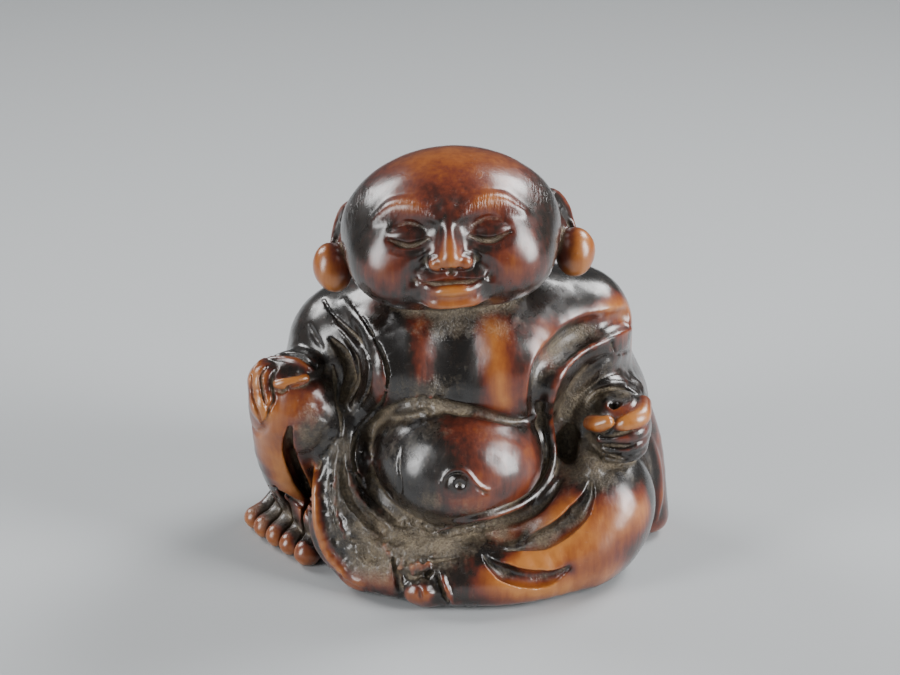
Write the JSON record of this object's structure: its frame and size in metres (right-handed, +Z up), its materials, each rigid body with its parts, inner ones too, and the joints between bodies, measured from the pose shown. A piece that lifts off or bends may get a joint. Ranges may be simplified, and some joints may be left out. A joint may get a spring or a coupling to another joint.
{
  "type": "netsuke",
  "caption": "Small carved wooden toggle in the form of a stout seated figure with a bare belly, one knee raised, a fist on the other leg, and a pair of cord holes through the back.",
  "frame": {"origin": "middle of the bounding box, on the surface that the figure sits on", "axes": "+Z up through the crown; the figure faces -Y; +X is on its left hand's side"},
  "size_m": [0.033, 0.024, 0.0342],
  "materials": {
    "wood": "stained dark, lacquered and polished, worn to orange-brown on the high places"
  },
  "bodies": {
    "root": {"seated_figure": "wood"}
  },
  "joints": []
}
